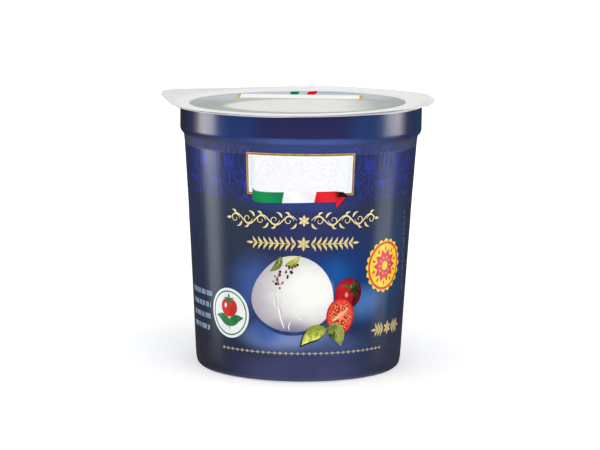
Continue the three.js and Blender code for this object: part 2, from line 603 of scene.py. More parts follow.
def plastic_look(name, colour, other):
    """Moulded plastic, a little dull, with a fine grain."""
    look = Look(name, 0.38)
    look.set("Base Color", look.mix(look.cloud(0.3, 0.3, 0.7), colour, other))
    look.bump(look.noise(look.here(), 3.0), 0.1, 0.0002)
    look.set("Subsurface Weight", 0.1)
    look.set("Subsurface Radius", (0.001, 0.001, 0.001))
    return look.material


# -------- the tub and the film

def make_tub():
    outer = tub_side()
    low, high = outer[0][1] + 1.0, FLANGE_LOW + 0.1  # the core is solid between these heights
    inner = COLLAR_RADIUS - COLLAR_WALL
    rim = [(COLLAR_RADIUS, COLLAR_TOP), (inner, COLLAR_TOP), (inner, high), (0, high)]
    points, faces = turned([(0, low), (BASE_RADIUS - 5, low), *outer, *rim])
    wall = new_piece("tub_wall", set_rim(points, 0), faces, ground_look())
    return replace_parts(wall, "tub")


def make_base(material):
    """The bare underside: a foot ring round a shallow recess, with a mould mark in its middle."""
    foot = arc((BASE_RADIUS - FOOT_ROUND, FOOT_ROUND), FOOT_ROUND, -90 * DEGREE, LABEL_LOW_TURN, 8)
    ring_in = BASE_RADIUS - FOOT_ROUND - BASE_RING_WIDTH
    mark = [(0, BASE_RECESS - 0.25), (1.6, BASE_RECESS - 0.25), (2.0, BASE_RECESS)]
    steps = [(10.7, 0.0), (11.0, 0.18), (11.7, 0.18), (12.0, 0.0)]
    ridge = [(r, BASE_RECESS - rise) for r, rise in steps]
    recess = [(ring_in - 1.2, BASE_RECESS), (ring_in - 0.4, BASE_RECESS * 0.7), (ring_in, 0.06)]
    inside = [(foot[-1][0] - 0.3, foot[-1][1] + 0.6), (0, 1.9)]
    points, faces = turned([*mark, *ridge, *recess, (ring_in + 0.3, 0), *foot, *inside], 300)
    return new_piece("tub_base", points, faces, material)


def make_flange(material):
    inner = SEAL_RADIUS + 0.9
    top, turn = FLANGE_TOP_ROUND, 90 * DEGREE
    edge = arc((FLANGE_RADIUS - top, FLANGE_SHOWN_TOP - top), top, 0, turn, 5)
    low_edge = arc((FLANGE_RADIUS - FLANGE_EDGE, FLANGE_LOW + FLANGE_EDGE), FLANGE_EDGE, -turn, 0, 3)
    profile = [(inner, FLANGE_LOW), *low_edge, *edge, (inner, FLANGE_SHOWN_TOP)]
    points, faces = turned(profile, loop=True)
    low = points[:, 2] < FLANGE_LOW + FLANGE_EDGE + 0.01
    x = points[low, 0]
    thin = FLANGE_THINNER * ease(-12, 4, x) * (1 - ease(24, 36, x))
    points[low, 2] += FLANGE_LOW_LIFT + FLANGE_LOW_LEAN * x + thin
    return new_piece("tub_flange", set_rim(points), faces, material)


def film_reach(direction):
    """How far the film reaches from the rim's centre: where it meets the tightest tangent line."""
    turns = np.arange(-80, 81) * DEGREE
    x, y = np.cos(direction + turns), np.sin(direction + turns)
    edges = [(a - RIM_SHIFT_X) * x + b * y + radius for a, b, radius in FILM_DISCS]
    return float(np.min(np.max(edges, axis=0) / np.cos(turns)))


def film_curl(direction):
    total = 0
    for middle, spread, height in FILM_CURLS:
        away = (math.degrees(direction) - middle + 180) % 360 - 180
        total += height * math.exp(-0.5 * (away / spread) ** 2)
    return total


def film_ripple(direction, out):
    """The free edge of a thin film is never quite flat."""
    wave = 0.08 * math.sin(5 * direction + 0.7) + 0.03 * math.sin(11 * direction)
    return wave * float(ease(0, 5, out))


# What shows through the film: (centre, half size, inner share, strength, colour).
WINDOW_FIELDS = [
    ((-36, -6), (22, 30), 0.2, 0.85, (122, 136, 122)),
    ((34, -4), (26, 34), 0.2, 0.8, (132, 141, 138)),
    # a darker band along the window's right edge: the tub's wall seen through the film, and painted shade
    # of the rim's inner wall
    ((39, -2), (8, 28), 0.1, 0.8, (106, 118, 112)),
    ((20, 38), (28, 9), 0.5, 0.9, (152, 170, 184)),
    ((-16, 39), (22, 8), 0.4, 0.85, (184, 194, 212)),
]
SHOWN_CHEESE = ((3, -8.7), (31.5, 22.7))  # the centre and half size of the pale patch
FREE_FILM = (46.3, 47.6)  # the welded film's white turns milky between these radii


def film_look():
    """Clear film: white where it is welded, milky where it is free, and grey over the brine, with the pale
    cheese showing through. The free film is painted lighter towards the back right, as light shines through
    it, and the window has a darker right edge, partly painted shade."""
    look = Look("sealed_film", 0.22)
    place = look.here()
    x, y, _ = look.parts(place)
    lid = look.joined(x, y)
    middle = (RIM_SHIFT_X + WINDOW_SHIFT_X, 0)
    out = look.times(look.distance(lid, middle, (SEAL_RADIUS, SEAL_RADIUS)), SEAL_RADIUS)
    window = look.mix(look.between(y, -30, 38), (160, 167, 160), (176, 189, 202))
    window = look.fields(lid, window, WINDOW_FIELDS)
    edge = look.between(look.distance(lid, *SHOWN_CHEESE), 0.9, 1.08, 1.0, 0.0)
    cheese = look.times(edge, look.between(x, 12, 32, 1.0, 0.0))
    window = look.mix(cheese, window, (244, 245, 239))
    window = look.mix(look.cloud(0.12, 0.4, 0.7, 0.0, 0.2), window, (204, 210, 206))
    milky = look.mix(look.cloud(0.5, 0.35, 0.65), (232, 234, 234), (240, 241, 240))
    # Painted light: the free film is lighter towards the back and the right, as light shines through it
    # from behind.
    milky = look.mix(look.between(look.plus(y, x), 20, 60), milky, (246, 246, 246))
    ring = look.mix(look.between(y, -34, -44), (250, 250, 249), (254, 254, 252))
    colour = look.mix(look.between(out, *FREE_FILM), ring, milky)
    inside = look.between(out, SEAL_RADIUS - WINDOW_EDGE, SEAL_RADIUS, 1.0, 0.0)
    look.set("Base Color", look.mix(inside, colour, window))
    look.bump(look.noise(place, 0.16, 3.0), 0.15, 0.001)
    return look.material


def make_film():
    segments = 360
    turns = around(segments)
    window = [*np.linspace(0, 40, 21)[1:], SEAL_RADIUS - WINDOW_EDGE]
    slope = np.linspace(SEAL_RADIUS - SINK_SLOPE, SEAL_RADIUS, 8)
    seal = np.linspace(SEAL_RADIUS, OVERHANG_START, 28)[1:]
    top = [
        (r * math.cos(t), r * math.sin(t), float(film_level(r)))
        for r in [*window, *slope, *seal] for t in turns
    ]
    edge = [(t, film_reach(t), film_curl(t)) for t in turns]
    for part in np.linspace(0, 1, 15)[1:]:
        for t, far, lift in edge:
            out = (far - OVERHANG_START) * part
            r = OVERHANG_START + out
            z = FILM_TOP + lift * float(ease(0, OVERHANG_RISE, out)) + film_ripple(t, out)
            top.append((r * math.cos(t), r * math.sin(t), z))
    rings = len(top) // segments
    top = np.array([*top, (0, 0, FILM_TOP - SINK_DEPTH)])
    shift = 1 - ease(SEAL_RADIUS, SEAL_BEADS[1], np.hypot(top[:, 0], top[:, 1]))
    top[:, 0] += WINDOW_SHIFT_X * shift
    faces = []
    for i in range(segments):
        j = (i + 1) % segments
        faces.append((len(top) - 1, i, j))
        for a in range(0, (rings - 1) * segments, segments):
            b = a + segments
            faces.append((a + i, b + i, b + j, a + j))
    points = np.concatenate([top, top - [0, 0, FILM_THICKNESS]])
    closed = shell(faces, len(top))
    film = new_piece("lid_peel_film", set_rim(points), closed, film_look())
    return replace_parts(film, "lid_film")


# -------- the print on the wall

DAMASK_FOOT = 76  # below this height the pattern is drawn closer together
DAMASK_SQUEEZE = 0.75


def squeezed(point):
    below = max(0, DAMASK_FOOT - point[1])
    return point[0], max(point[1], DAMASK_FOOT) - DAMASK_SQUEEZE * below


def damask_repeat():
    """One repeat of a plain damask: a pointed lens over a palmette, with slim buds between."""
    half = DAMASK_WIDTH / 2
    lens = [(0, 88.2), (1.5, 86.0), (2.5, 82.6), (1.6, 79.2), (0, 77.0)]
    right = stroke(smooth_line(lens), 0.72)
    right += pen_lines(
        (0.7, (0.2, 77.2), (1.6, 75.2), (3.6, 74.6), (4.9, 76.2), (4.5, 78.4)),
        (0.6, (0, 68.4), (1.2, 66.6), (3.1, 66.0), (5.0, 67.2), (half, 70.4)),
    )
    right += stroke(spiral((3.2, 77.4), 1.35, 0.3, -10 * DEGREE, 430 * DEGREE), 0.55, curl_pen)
    right += leaves(
        ((4.5, 79.0), (3.5, 87.6), 1.15, -0.1),
        ((5.3, 77.6), (5.2, 84.0), 0.85, -0.12),
        ((0.4, 74.6), (2.5, 70.2), 1.0, 0.16),
        ((0.8, 75.0), (4.3, 71.8), 0.95, 0.2),
        ((2.9, 66.6), (3.4, 70.6), 0.8),
        ((5.4, 73.6), (4.8, 69.4), 0.8, 0.1),
        ((1.9, 86.4), (2.7, 88.8), 0.7),
        ((4.7, 86.6), (5.4, 88.9), 0.7),
    )
    middle = leaves(
        ((0, 78.6), (0, 86.4), 1.5, 0, drop_pen),
        ((0, 75.6), (0, 69.0), 1.7, 0, drop_pen),
    )
    middle.append(oval((0, 67.2), 0.45, 0.6, steps=10))
    buds = leaves(
        ((half, 80.0), (half, 88.2), 1.5, 0, drop_pen),
        ((half, 79.2), (half, 72.0), 1.3, 0, drop_pen),
        ((half, 79.6), (half + 1.6, 82.6), 0.7, -0.2),
        ((half, 71.6), (half + 1.5, 68.0), 0.7, -0.2),
        ((half, 79.6), (half - 1.6, 82.6), 0.7, 0.2),
        ((half, 71.6), (half - 1.5, 68.0), 0.7, 0.2),
    )
    drawn = moved(mirrored(right) + middle + buds, along=half - 0.4)
    return [[squeezed(point) for point in quad] for quad in drawn]


def damask_look():
    """Blue that is worn in patches, with painted shade on both flanks where the wall turns away."""
    look = Look("damask_blue")
    along, up, _ = look.parts(look.wall_place())
    colour = look.mix(look.between(up, 66, 86), (44, 60, 172), (42, 54, 162))
    colour = look.mix(look.cloud(0.16, 0.36, 0.6, 0.0, 0.7), colour, (38, 48, 112))
    # Painted shade: the ink is darker on both flanks, where the wall turns away from the front.
    away = look.math("ABSOLUTE", along)
    flank = look.times(look.between(away, 46, 58), look.between(away, 64, 76, 1.0, 0.0))
    return look.label(look.mix(flank, colour, (22, 36, 84)))


def print_damask():
    printed("print_damask", damask_repeat(), damask_look(), 1, repeats=DAMASK_REPEATS, step=2.2)


# The panel with its frame, as left, low, right and high, and the widths of the lines round it.
PANEL = (-20.0, 70.4, 20.1, 85.8)
PANEL_RIM = 0.32  # the paler outer line of the gold frame
PANEL_FRAME = 0.82  # the whole gold frame
PANEL_EDGE = 0.5


def panel_look():
    """White with a faint speckle and a cool band along each side, fainter on the right."""
    look = Look("panel_white")
    along = look.parts(look.wall_place())[0]
    left = look.between(along, PANEL[0] + 1.6, PANEL[0] + 4.4, 0.85, 0.0)
    right = look.between(along, PANEL[2] - 3.6, PANEL[2] - 1.6, 0.0, 0.55)
    speckle = look.cloud(1.4, 0.4, 0.66, detail=4.0)
    colour = look.mix(speckle, (248, 248, 250), (236, 237, 246))
    return look.label(look.mix(look.plus(left, right), colour, (222, 234, 243)))


def print_panel():
    left, low, right, high = PANEL
    layers = (
        ("print_panel_rim", 0, ((206, 174, 92), (184, 146, 60))),
        ("print_panel_frame", PANEL_RIM, ((160, 118, 26), (142, 104, 22))),
        ("print_panel_edge", PANEL_FRAME, ((250, 251, 252), (242, 245, 248))),
        ("print_panel", PANEL_FRAME + PANEL_EDGE, panel_look()),
    )
    for level, (name, inset, look) in enumerate(layers):
        inner = box(left + inset, low + inset, right - inset, high - inset)
        printed(name, [inner], look, level + 2)


# The ribbon's upper and lower edges, left to right, and where its colours change.
RIBBON_TOP = [
    (-17.7, 72.7), (-17.0, 72.0), (-15.0, 71.6), (-11, 71.5), (-5.9, 71.65),
    (5.7, 71.95), (13.2, 72.0), (15.9, 71.7), (17.6, 70.4),
]
RIBBON_LOW = [
    (-17.7, 68.5), (-17.0, 67.9), (-15.8, 67.55), (-13, 67.5), (-6.5, 67.65),
    (5.3, 68.0), (13.4, 68.05),
]
RIBBON_WHITE = (-6.2, 5.5)
RIBBON_FOLD = 13.4  # where the red end turns under
RIBBON_SLANT = 0.35  # how far the cuts between the colours lean to the right, each way


def ribbon_part(left, right):
    """The stretch of ribbon between two slanting cuts."""
    def edge(controls, lean):
        line = np.array(smooth_line(controls))
        start, end = max(left + lean, line[0, 0]), min(right + lean, line[-1, 0])
        return [(x, float(np.interp(x, *line.T))) for x in np.linspace(start, end, 14)]

    return edge(RIBBON_LOW, -RIBBON_SLANT) + edge(RIBBON_TOP, RIBBON_SLANT)[::-1]


def ribbon_look(name, colour, shade):
    """A printed ribbon with the soft light and shade of its waves."""
    look = Look(name)
    along, up, _ = look.parts(look.wall_place())
    phase = look.plus(look.times(along, 0.55), look.times(up, 0.35))
    share = look.between(look.math("SINE", phase), -1, 1, 0.0, 0.8)
    return look.label(look.mix(share, colour, shade))


def fold_look():
    """The turned end of the ribbon, red in the light and nearly black inside the turn."""
    look = Look("ribbon_fold")
    along = look.parts(look.wall_place())[0]
    return look.label(look.mix(look.between(along, 11.9, 14.6), (218, 20, 38), (44, 6, 16)))


def print_ribbon():
    low, high = RIBBON_WHITE
    stretches = (
        ("green", -30, low, (0, 146, 84), (0, 128, 70)),
        ("white", low, high, (248, 248, 250), (234, 235, 240)),
        ("red", high, RIBBON_FOLD, (232, 24, 40), (206, 14, 34)),
    )
    for name, left, right, colour, shade in stretches:
        look = ribbon_look(f"ribbon_{name}", colour, shade)
        printed(f"print_ribbon_{name}", [ribbon_part(left, right)], look, 6)
    tail = [(13.35, 68.05), (13.55, 65.85), (14.9, 66.7), (17.6, 70.4), (16.2, 70.2), (13.3, 69.9)]
    printed("print_ribbon_tail", [tail], ((228, 12, 44), (200, 10, 40)), 7)
    fold = [(12.4, 71), (13.2, 69.7), (16, 69.9), (17.2, 69.6), (17.6, 70.4), (15.9, 71.7), (12.4, 72)]
    printed("print_ribbon_fold", [fold], fold_look(), 8)
    edge = stroke([(13.9, 66.0), (15.2, 67.0), (17.3, 70.0)], 0.5, tapered_pen)
    printed("print_ribbon_edge", edge, ((92, 12, 28), (60, 12, 28)), 9)


# -------- ornament in place of the lines of text

def small_flower(centre, reach, width, heart):
    return rosette(centre, 0.5, reach, width, 6, 30 * DEGREE) + [disc(centre, heart)]


def vine_row(left, right, middle, height):
    """A running vine that grows both ways from a small flower, with a curl in each of its waves."""
    centre, waves = (left + right) / 2, 5
    begin = centre + 0.42 * height
    pitch = (right - 1.2 - begin) / waves
    rise = 0.3 * height
    stem = [
        (begin + pitch * waves * t, middle + rise * math.sin(math.pi * waves * t))
        for t in np.linspace(0, 1, 12 * waves)
    ]
    pieces = stroke(stem, 0.46)
    for i in range(waves):
        side = 1 if i % 2 == 0 else -1
        x, crest = begin + pitch * (i + 0.5), middle + side * rise
        heart = (x + 0.1 * pitch, middle - side * 0.02 * height)
        curl = spiral(heart, 0.36 * pitch, 0.09 * pitch, math.pi, -side * 400 * DEGREE, 34)
        low, tip = middle - side * 0.16 * height, middle - side * 0.5 * height
        pieces += stroke(curl, 0.44, curl_pen)
        pieces += leaves(
            ((x + 0.1, crest), (x + 1.9, crest + side * 0.2 * height), 0.8, 0.2 * side),
            ((x - 0.44 * pitch, low), (x - 0.02 * pitch, tip), 0.8, -0.18 * side),
        )
    pieces += leaf((right - 1.5, middle), (right + 0.6, middle), 1.0)
    return mirrored(pieces, centre) + small_flower((centre, middle), 0.36 * height, 1.0, 0.55)


def laurel_row(left, right, middle, height, count=8):
    """Two laurel branches that meet at a small flower."""
    centre, gap = (left + right) / 2, 0.4 * height
    spine = [(x, middle) for x in (centre + gap, (centre + right) / 2, right - 1)]
    branch = stroke(spine, 0.42)
    pitch = (right - centre - gap - 2.4) / count
    for i in range(count):
        x = centre + gap + 0.5 + pitch * i
        for side in (1, -1):
            tip = middle + side * height * (0.46 - 0.012 * i)
            branch += leaf((x, middle + side * 0.1), (x + 1.7, tip), 0.9, -0.12 * side)
    branch += leaf((right - 2.4, middle), (right + 0.4, middle), 1.0)
    return mirrored(branch, centre) + small_flower((centre, middle), 0.44 * height, 1.15, 0.6)


def lozenge(x, y, across, up):
    return [(x - across, y), (x, y - up), (x + across, y), (x, y + up)]


def beading(left, right, up, count=31):
    """A fine level line of lozenges with beads between them."""
    places = np.linspace(left, right, count)
    beads = [lozenge(x, up, 0.72, 0.62) for x in places]
    for x in (places[1:] + places[:-1]) / 2:
        beads += stroke([(x - 0.5, up), (x, up), (x + 0.5, up)], 0.3)
    return beads


ORNAMENT_SHADE = (0.28, -0.24)  # a thin dark edge shows below and to the right of the gold


def print_gold():
    gold = upright_ink("gold_pale", (214, 192, 124), (240, 229, 174), 46, 66)
    shade = plain_ink("gold_shade", (26, 30, 44), (20, 24, 40))
    rows = (
        ("print_gold_scroll", vine_row(-28.6, 31.8, 61.2, 6.0)),
        ("print_gold_laurel", laurel_row(-20.2, 23.2, 52.6, 6.0)),
        ("print_gold_flourish", laurel_row(32.2, 51.6, 18.5, 6.0, 3)),
    )
    for name, row in rows:
        printed(f"{name}_shade", moved(row, *ORNAMENT_SHADE), shade, 1)
        printed(name, row, gold, 2)
    beads = beading(-33.0, 37.3, 11.5)
    printed("print_gold_beading", beads, ((188, 177, 150), (168, 160, 142)), 1)


# -------- the picture: a cheese ball, tomatoes and basil

BALL = (-2.8, 31.4)
BALL_ACROSS = 16.4
BALL_UP = 16.9
BALL_DOWN = 11.8
BALL_SLUMP = 0.075  # how much less the upper left reaches
BALL_SLUMP_TURN = 137  # degrees
BALL_LEAN = 0.03  # how far its foot leans to the right


def ball_look():
    """White cheese lit from the upper right, cool and darker towards its left and its foot."""
    look = Look("ball_white")
    place = look.wall_place()
    x, y = BALL
    away = look.distance(place, (x + 7.5, y + 3.5), (27.5, 21.5))
    soft = look.cloud(0.25, 0.3, 0.7, -0.035, 0.035)
    share = look.between(look.plus(away, soft), 0.16, 1.0)
    colour = look.mix(share, (249, 249, 243), (174, 165, 178))
    return look.label(look.fields(place, colour, [
        ((x, y - 13.0), (19, 8.0), 0.1, 0.95, (122, 118, 142)),
        ((x - 1, y + 16), (8.5, 4.5), 0.2, 0.4, (246, 243, 178)),
        ((x + 7, y - 7.5), (5.5, 3), 0.1, 0.3, (238, 235, 232)),
    ]))


def ball_outline():
    """An oval with a flatter upper left, where the ball slumps."""
    outline = []
    for x, y in oval((0, 0), BALL_ACROSS, BALL_UP, BALL_DOWN, steps=90):
        turn = math.degrees(math.atan2(y / BALL_UP, x / BALL_ACROSS)) % 360
        share = 1 - BALL_SLUMP * math.exp(-(((turn - BALL_SLUMP_TURN) / 32) ** 2))
        outline.append((BALL[0] + x * share + BALL_LEAN * max(0, -y), BALL[1] + y * share))
    return outline


def print_ball():
    foot = (BALL[0], BALL[1] - 0.9)
    shadow = oval(foot, BALL_ACROSS + 0.2, BALL_UP - 4, BALL_DOWN + 0.5, steps=90)
    printed("print_ball_shadow", [shadow], ((36, 58, 112), (44, 70, 126)), 1)
    printed("print_ball", [ball_outline()], ball_look(), 2)
    light = pen_lines(
        (0.62, (-8.1, 29.4), (-7.6, 27.6), (-7.0, 24.6), (-5.6, 20.8)),
        (0.4, (-10.4, 33.6), (-9.3, 32.0), (-9.4, 30.0), (-8.7, 28.2)),
        (0.35, (-8.6, 34.6), (-8.2, 32.4), (-7.5, 30.6)),
        (0.4, (-3.2, 23.4), (-3.9, 21.6), (-3.6, 20.2)),
        (0.4, (-0.2, 25.2), (0.6, 24.4), (1.6, 24.6)),
    )
    printed("print_ball_fold", light, ((250, 250, 250), (240, 240, 244)), 3)
    dark = pen_lines(
        (0.45, (-7.6, 29.8), (-7.0, 27.4), (-6.3, 24.4), (-5.1, 21.2)),
        (0.3, (-9.9, 33.4), (-8.8, 31.9), (-8.9, 29.8), (-8.2, 28.0)),
        (0.3, (-16.0, 38.0), (-14.4, 39.8), (-12.4, 41.3)),
    )
    printed("print_ball_fold_shade", dark, ((186, 182, 196), (198, 194, 204)), 3)


def leaf_look(name, dark, light, middle, turn):
    """A leaf that is darker near its base and on one side of its rib."""
    look = Look(name)
    along, up, _ = look.parts(look.vector("SUBTRACT", look.wall_place(), (*middle, 0)))
    run = look.times(along, math.cos(turn) / 3)
    lift = look.plus(run, look.times(up, math.sin(turn) / 3))
    share = look.plus(lift, look.cloud(0.5, 0.3, 0.7, -0.8, 0.8))
    return look.label(look.mix(look.between(share, -1, 1), dark, light))


def veined_leaf(name, level, base, tip, width, bend, dark, light):
    """A basil leaf with a paler rib and side veins."""
    run = np.array(tip) - base
    middle = tuple(np.array(base) + run / 2)
    turn = math.atan2(run[1], run[0]) + 70 * DEGREE
    look = leaf_look(f"{name}_green", dark, light, middle, turn)
    printed(f"print_{name}", leaf(base, tip, width, bend, steps=22), look, level)
    veins = stroke(bowed(base, tip, bend, np.linspace(0.02, 0.92, 12)), 0.26, tapered_pen)
    side = np.array([-run[1], run[0]]) * width / np.linalg.norm(run) * 0.24
    for start in bowed(base, tip, bend, (0.25, 0.42, 0.59, 0.74)):
        for out in (side, -side):
            vein = [start, start + run * 0.06 + out * 0.6, start + run * 0.13 + out]
            veins += stroke(vein, 0.14, tapered_pen)
    printed(f"print_{name}_veins", veins, (light, (196, 204, 120)), level + 1)


def print_herbs():
    """Two small leaves and scattered pepper on the ball."""
    veined_leaf("top_leaf_left", 4, (-7.1, 48.0), (-11.2, 42.2), 2.7, 0.16, (70, 80, 32), (126, 134, 62))
    veined_leaf("top_leaf_right", 4, (-5.2, 44.6), (0.4, 48.3), 2.5, -0.12, (150, 164, 48), (208, 213, 100))
    draw = random.Random(11)
    dark, red = [], []
    for i in range(30):
        fall = (i / 29) ** 1.3
        x = -2.4 - 6.8 * fall + draw.uniform(-2.6, 2.4)
        y = 44.0 - 8.0 * fall ** 1.5 + draw.uniform(-1.7, 1.1)
        size = draw.uniform(0.26, 0.6)
        corn = oval((x, y), size * draw.uniform(0.8, 1.2), size, steps=9)
        (red if i % 3 == 0 else dark).append(corn)
    printed("print_pepper_dark", dark, ((44, 30, 28), (70, 48, 40)), 6)
    printed("print_pepper_red", red, ((150, 52, 44), (176, 96, 70)), 6)


TOMATO = (19.9, 33.8)
CROWN = (TOMATO[0] + 2.5, TOMATO[1] + 1.7)  # where its sepals meet
HALF = (16.7, 25.3)


def tomato_look():
    look = Look("tomato_red")
    place = look.wall_place()
    x, y = TOMATO
    away = look.distance(place, (x - 1.6, y + 0.6), (6.6, 6.6))
    colour = look.mix(look.between(away, 0.3, 1.05), (194, 2, 20), (90, 4, 18))
    return look.label(look.fields(place, colour, [
        ((x - 0.9, y - 0.6), (1.0, 1.3), 0.2, 0.85, (246, 176, 150)),
        ((x - 2.8, y + 2.6), (2.2, 1.6), 0.1, 0.3, (226, 70, 54)),
    ]))


def flesh_look():
    look = Look("tomato_flesh")
    away = look.distance(look.wall_place(), HALF, (5.6, 6.5))
    share = look.plus(away, look.cloud(0.8, 0.35, 0.65, -0.18, 0.18))
    return look.label(look.mix(look.between(share, 0.15, 0.95), (250, 144, 84), (232, 58, 38)))


def print_whole_tomato():
    printed("print_tomato", [oval(TOMATO, 5.7, 5.6, 5.9, 60)], tomato_look(), 3)
    sepals = []
    for turn, length in ((150, 4.2), (205, 3.3), (262, 6.0), (310, 3.6), (35, 3.0), (95, 3.2)):
        sepals += leaf(CROWN, at(CROWN, turn * DEGREE, length), 1.25, 0.12)
    sepals.append(disc(CROWN, 0.8))
    look = leaf_look("sepal_green", (14, 30, 18), (58, 84, 36), CROWN, 120 * DEGREE)
    printed("print_tomato_sepals", sepals, look, 4)
    arm = leaf(CROWN, (CROWN[0] - 5.6, CROWN[1] + 1.0), 1.0, -0.08)
    look = leaf_look("arm_green", (84, 104, 40), (150, 168, 70), CROWN, 0.0)
    printed("print_tomato_arm", arm, look, 4)


def print_half_tomato():
    printed("print_tomato_half", [oval(HALF, 5.8, 6.8, steps=60)], ((206, 34, 36), (176, 24, 34)), 5)
    printed("print_tomato_flesh", [oval(HALF, 5.3, 6.2, steps=60)], flesh_look(), 6)
    pockets, seeds = [], []
    for turn, size in ((58, 2.2), (122, 2.7), (172, 2.0), (228, 2.6), (296, 2.3), (352, 1.8)):
        out = turn * DEGREE
        pockets += leaf(at(HALF, out, 1.3, 1.5), at(HALF, out, 4.9, 5.6), size, pen=tapered_pen)
        for along, across in ((0.3, 0.5), (0.3, -0.5), (-0.7, 0.35), (1.1, 0.1)):
            seed = at(at(at(HALF, out, 3.2, 3.7), out, along), out + 90 * DEGREE, across)
            seeds.append(oval(seed, 0.34, 0.26, steps=8))
    printed("print_tomato_pockets", pockets, ((206, 50, 36), (182, 22, 34)), 7)
    printed("print_tomato_seeds", seeds, ((246, 206, 140), (240, 184, 120)), 8)
    x, y = HALF
    core = pen_lines((1.1, (x - 3.4, y - 1.8), (x - 0.6, y + 0.2), (x + 3.2, y + 3.0)))
    printed("print_tomato_core", core, ((252, 196, 150), (244, 160, 116)), 9)


def print_basil():
    shadow = leaf((10.8, 20.1), (0.7, 14.0), 5.8, -0.13, steps=22)
    printed("print_basil_shadow", shadow, ((26, 44, 84), (34, 52, 74)), 9)
    veined_leaf("basil_left", 10, (11.0, 20.5), (1.4, 14.9), 5.3, -0.13, (144, 156, 36), (242, 244, 104))
    veined_leaf("basil_right", 10, (11.6, 21.7), (17.2, 14.2), 6.3, 0.16, (58, 76, 24), (158, 166, 74))
    stem = pen_lines((0.6, (9.0, 19.6), (11.2, 20.8), (12.4, 21.6)))
    printed("print_basil_stem", stem, ((150, 164, 90), (110, 128, 60)), 12)


# -------- the seals and the small print

def print_right_seal():
    """A yellow disc with a scalloped edge, a red ring and a red flower."""
    centre = (37.5, 42.7)
    yellow = plain_ink("seal_yellow", (248, 224, 24), (244, 212, 20))
    printed("print_seal_field", [scalloped(centre, 10.2, 1.1, 20)], yellow, 2)
    flower = rosette(centre, 0.4, 6.3, 3.3, 10) + rosette(centre, 5.6, 7.6, 0.9, 10, 18 * DEGREE)
    red = ((232, 50, 78), (222, 42, 70))
    printed("print_seal_flower", ring_of_quads(centre, 8.2, 9.1) + flower, red, 3)
    beads = [disc(at(centre, turn, 3.1), 0.34, 8) for turn in around(10)]
    printed("print_seal_heart", [disc(centre, 1.7, 24), *beads], yellow, 4)


def print_left_seal():
    """A white disc with a red fruit on two green leaves, inside a fine green ring."""
    centre = x, y = (-29.6, 24.9)
    white = plain_ink("badge_white", (246, 248, 247), (236, 241, 242))
    green = plain_ink("badge_green", (60, 136, 72), (44, 118, 62))
    printed("print_badge", [disc(centre, 9.4, 80)], white, 2)
    sprig = ring_of_quads(centre, 7.9, 8.4)
    sprig += mirrored(leaf((x, y - 4.9), (x + 6.8, y - 1.4), 3.6, 0.14), x)
    sprig += stroke([(x, y - 6.6), (x, y - 4.6), (x, y - 1.6)], 0.5)
    printed("print_badge_green", sprig, green, 3)
    fruit = oval((x, y + 2.2), 4.0, 3.6, steps=40)
    printed("print_badge_fruit", [fruit], ((216, 50, 46), (200, 40, 40)), 4)
    calyx = rosette((x, y + 5.0), 0.0, 2.4, 0.9, 5, 18 * DEGREE)
    printed("print_badge_calyx", calyx, green, 5)
    shine = oval((x - 1.7, y + 2.8), 0.55, 0.9, steps=16)
    printed("print_badge_shine", [shine], white, 5)


def dashes(left, right, up, draw):
    """A ruled line broken into dashes, where small print would be."""
    pieces, x, gap = [], left, 0.8
    while x < right - gap:
        end = min(x + draw.uniform(1.4, 4.2), right)
        pieces.append(box(x, up - 0.5, end, up + 0.5))
        x = end + gap
    return pieces


def upright_bars(left, right, up, draw, width=0.5, height=1.9, pitch=0.85):
    """A row of short upright bars in groups of a few."""
    pieces, x = [], left
    while x < right - width:
        group = draw.randint(2, 6)
        for bar in [x + pitch * i for i in range(group)]:
            if bar < right - width:
                pieces.append(box(bar, up - height / 2, bar + width, up + height / 2))
        x += pitch * group + 0.7
    return pieces


def print_small_lines():
    """Rows of short bars on the left flank, and a column of dashes on the right one."""
    draw = random.Random(5)
    rows = []
    for i in range(4):
        rows += upright_bars(-57.5, -39.5 - 0.75 * i, 30.8 - 4.4 * i, draw)
    printed("print_lines_left", rows, ((172, 194, 224), (146, 170, 206)), 1)
    column = []
    top, low = 62.0, 32
    up = top
    while up > low:
        length = draw.uniform(1.2, 3.0)
        x = 50.6 + (top - up) * 0.12  # the column leans out towards its foot
        column.append(box(x - 0.45, up - length, x + 0.45, up))
        up -= length + 0.7
    printed("print_lines_right", column, ((92, 108, 138), (78, 94, 124)), 1)


def print_back():
    """The back has a pale blue panel on each side of the seam, ruled with dashes."""
    draw = random.Random(9)
    blue = upright_ink("back_blue", (52, 92, 150), (96, 140, 196), 6, 60)
    pale = plain_ink("back_pale", (206, 220, 236), (184, 202, 224))
    gold = plain_ink("back_gold", (198, 160, 84), (170, 130, 60))
    for side, left, right in (("left", -122.0, -64.0), ("right", 64.0, 122.0)):
        printed(f"print_back_frame_{side}", [box(left - 0.6, 5.4, right + 0.6, 58.6)], gold, 1)
        printed(f"print_back_panel_{side}", [box(left, 6, right, 58)], blue, 2)
        rows = []
        for i in range(12):
            rows += dashes(left + 5, right - 5 - draw.uniform(0, 16), 53 - 3.7 * i, draw)
        printed(f"print_back_lines_{side}", rows, pale, 3)
    half_turn = math.pi * PRINT_RADIUS
    seam = box(half_turn - 0.2, 1.2, half_turn + 0.2, 98.5)
    printed("label_seam", [seam], ((226, 230, 236), (214, 220, 230)), 3)


# -------- the print on the film

